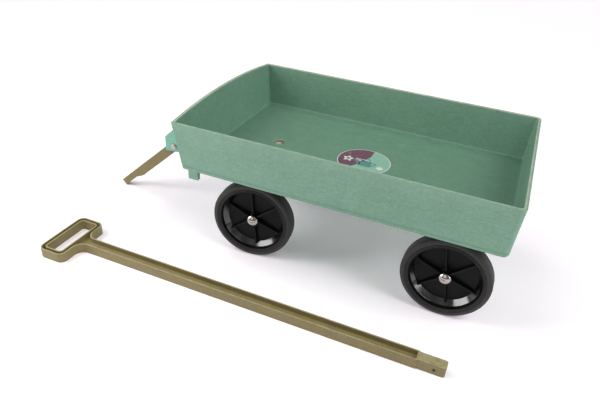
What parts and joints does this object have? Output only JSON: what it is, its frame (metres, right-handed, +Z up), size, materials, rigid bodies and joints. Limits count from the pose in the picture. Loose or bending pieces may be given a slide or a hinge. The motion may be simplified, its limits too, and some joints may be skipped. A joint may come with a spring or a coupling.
{
  "type": "garden hand cart",
  "caption": "Low moulded pull-along cart: open tray with arched front, four ribbed wheels, steering front carrier, hinged drawbar stub and detached D-grip handle.",
  "frame": {"origin": "on the ground, under the middle of the tub rim", "axes": "+X forward towards the towed end, +Y to the left side of the cart, +Z up"},
  "size_m": [0.8642, 0.5445, 0.284],
  "materials": {
    "tub_plastic": "satin fibre-flecked moulding, lightly scuffed",
    "carrier_plastic": "satin moulding",
    "handle_plastic": "satin fibre-filled moulding",
    "wheel_plastic": "glossy black moulding",
    "tyre_rubber": "matt black rubber",
    "bright_cap": "polished pressed steel",
    "zinc_steel": "zinc-plated steel",
    "slip_plastic": "natural nylon",
    "label_film": null
  },
  "bodies": {
    "cart_body": {"tub": "tub_plastic", "floor_label": "label_film", "rear_axle_carrier": "carrier_plastic", "rear_carrier_screws": "zinc_steel", "rear_axle": "zinc_steel", "rear_axle_washers": "zinc_steel", "rear_left_cap": "bright_cap", "rear_right_cap": "bright_cap", "kingpin_bolt": "zinc_steel", "kingpin_nut": "zinc_steel", "kingpin_washers": "zinc_steel", "turntable_disc": "slip_plastic"},
    "steering_carrier": {"front_carrier": "carrier_plastic", "kingpin_bush": "slip_plastic", "front_axle": "zinc_steel", "front_axle_washers": "zinc_steel", "front_left_cap": "bright_cap", "front_right_cap": "bright_cap", "drawbar_bolt": "zinc_steel", "drawbar_nut": "zinc_steel", "drawbar_washers": "zinc_steel"},
    "drawbar": {"drawbar_link": "handle_plastic"},
    "pull_handle": {"handle": "handle_plastic"},
    "wheel_rear_left": {"rear_left_rim": "wheel_plastic", "rear_left_tyre": "tyre_rubber"},
    "wheel_rear_right": {"rear_right_rim": "wheel_plastic", "rear_right_tyre": "tyre_rubber"},
    "wheel_front_left": {"front_left_rim": "wheel_plastic", "front_left_tyre": "tyre_rubber"},
    "wheel_front_right": {"front_right_rim": "wheel_plastic", "front_right_tyre": "tyre_rubber"}
  },
  "joints": [
    {"name": "carrier_steer", "type": "hinge", "parent": "cart_body", "child": "steering_carrier", "pos_m": [0.179, 0, 0.162], "axis": [0, 0, 1], "range_deg": [-36.7, 23.3]},
    {"name": "drawbar_lift", "type": "hinge", "parent": "steering_carrier", "child": "drawbar", "pos_m": [0.4124, 0.02742, 0.131], "axis": [0.1167, -0.9932, 0], "range_deg": [0, 120]},
    {"name": "handle_pick_up", "type": "slide", "parent": "cart_body", "child": "pull_handle", "axis": [0, 0, 1], "range_m": [0, 0.25]},
    {"name": "wheel_rear_left_spin", "type": "hinge", "parent": "cart_body", "child": "wheel_rear_left", "pos_m": [-0.2145, 0.142, 0.08], "axis": [0, 1, 0], "continuous": true},
    {"name": "wheel_rear_right_spin", "type": "hinge", "parent": "cart_body", "child": "wheel_rear_right", "pos_m": [-0.2145, -0.142, 0.08], "axis": [0, 1, 0], "continuous": true},
    {"name": "wheel_front_left_spin", "type": "hinge", "parent": "steering_carrier", "child": "wheel_front_left", "pos_m": [0.16243, 0.14103, 0.08], "axis": [-0.1167, 0.9932, 0], "continuous": true},
    {"name": "wheel_front_right_spin", "type": "hinge", "parent": "steering_carrier", "child": "wheel_front_right", "pos_m": [0.19557, -0.14103, 0.08], "axis": [-0.1167, 0.9932, 0], "continuous": true}
  ]
}
